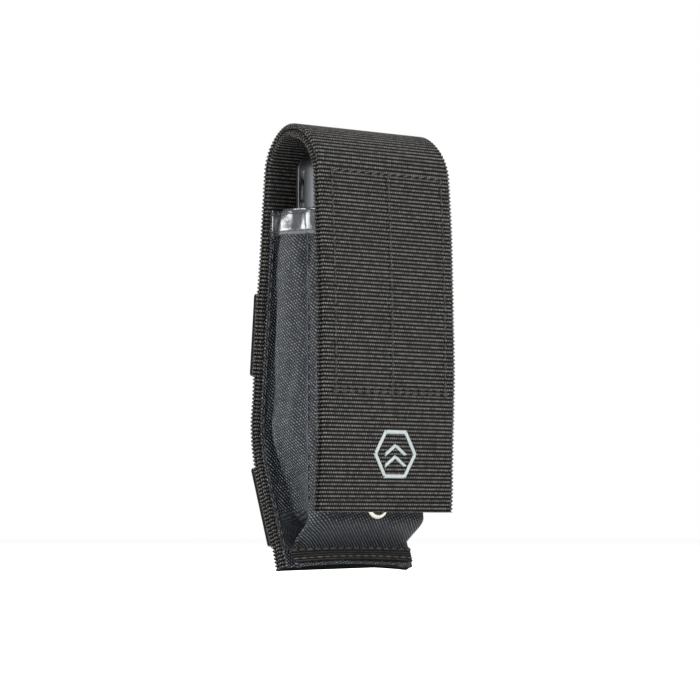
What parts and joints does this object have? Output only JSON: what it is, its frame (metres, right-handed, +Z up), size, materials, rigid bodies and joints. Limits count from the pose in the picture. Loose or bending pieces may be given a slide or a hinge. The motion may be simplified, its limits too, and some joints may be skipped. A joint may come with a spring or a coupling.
{
  "type": "multi tool in a sheath",
  "caption": "Closed plier multi tool in a belt and MOLLE sheath: folded ribbed webbing with a turn-over flap, cloth pocket, drain eyelet, carrying rows and a strap that snaps shut.",
  "frame": {"origin": "centre of the bounding box in X and Y, at the lowest point of the bottom seam", "axes": "+Z up, -Y towards the flap's face, +X to the viewer's right when the flap faces the viewer"},
  "size_m": [0.0508, 0.0382, 0.1333],
  "materials": {
    "nylon_webbing": "matte",
    "hook_and_loop": "matte",
    "ballistic_nylon": "matte",
    "glossy_binding": "gloss",
    "nickel": "satin",
    "black_enamel": "satin",
    "black_oxide_steel": "satin",
    "dark_steel": "satin"
  },
  "bodies": {
    "sheath": {"back_outer_webbing": "nylon_webbing", "back_lining_webbing": "nylon_webbing", "pocket_loop_patch": "hook_and_loop", "pocket_front": "ballistic_nylon", "left_gusset": "ballistic_nylon", "right_gusset": "ballistic_nylon", "mouth_tape": "glossy_binding", "hem_tape": "nylon_webbing", "drain_eyelet": "nickel", "eyelet_washer": "nickel", "upper_row": "nylon_webbing", "lower_row": "nylon_webbing", "carry_strap": "nylon_webbing", "strap_anchor": "nylon_webbing", "snap_stud": "nickel", "snap_rivet": "nickel"},
    "crown": {"crown_outer_webbing": "nylon_webbing", "crown_lining_webbing": "nylon_webbing"},
    "flap": {"flap_outer_webbing": "nylon_webbing", "flap_lining_webbing": "nylon_webbing", "flap_hook_patch": "hook_and_loop"},
    "strap_tail_end": {"strap_tail": "nylon_webbing", "snap_cap": "black_enamel", "snap_socket": "nickel"},
    "multi_tool": {"left_handle": "black_oxide_steel", "right_handle": "black_oxide_steel", "left_axle": "dark_steel", "right_axle": "dark_steel", "axle_screws": "dark_steel", "knife_blade": "dark_steel", "saw_blade": "dark_steel", "left_liner_lock": "dark_steel", "right_liner_lock": "dark_steel", "left_washers": "dark_steel", "right_washers": "dark_steel", "large_screwdriver": "dark_steel", "can_opener": "dark_steel", "small_screwdriver": "dark_steel", "awl": "dark_steel", "left_jaw": "black_oxide_steel", "right_jaw": "black_oxide_steel", "jaw_pivot": "black_oxide_steel", "jaw_pivot_nut": "black_oxide_steel", "left_handle_pin": "dark_steel", "right_handle_pin": "dark_steel", "left_spacer": "dark_steel", "right_spacer": "dark_steel"}
  },
  "joints": [
    {"name": "flap_rear_fold", "type": "hinge", "parent": "sheath", "child": "crown", "pos_m": [0, 0.01085, 0.11961], "axis": [-1, 0, 0], "range_deg": [0, 100]},
    {"name": "flap_front_fold", "type": "hinge", "parent": "crown", "child": "flap", "pos_m": [0, -0.01909, 0.1183], "axis": [-1, 0, 0], "range_deg": [0, 61]},
    {"name": "tool_slide", "type": "slide", "parent": "sheath", "child": "multi_tool", "axis": [0, 0, 1], "range_m": [0, 0.02]},
    {"name": "strap_tail_fold", "type": "hinge", "parent": "sheath", "child": "strap_tail_end", "pos_m": [0, 0.01519, 0.08611], "axis": [-1, 0, 0], "range_deg": [0, 110]}
  ],
  "couplings": [
    {"joint": "flap_rear_fold", "follows": "tool_slide", "rad_per_m": 87},
    {"joint": "flap_front_fold", "follows": "tool_slide", "rad_per_m": 52.2}
  ]
}
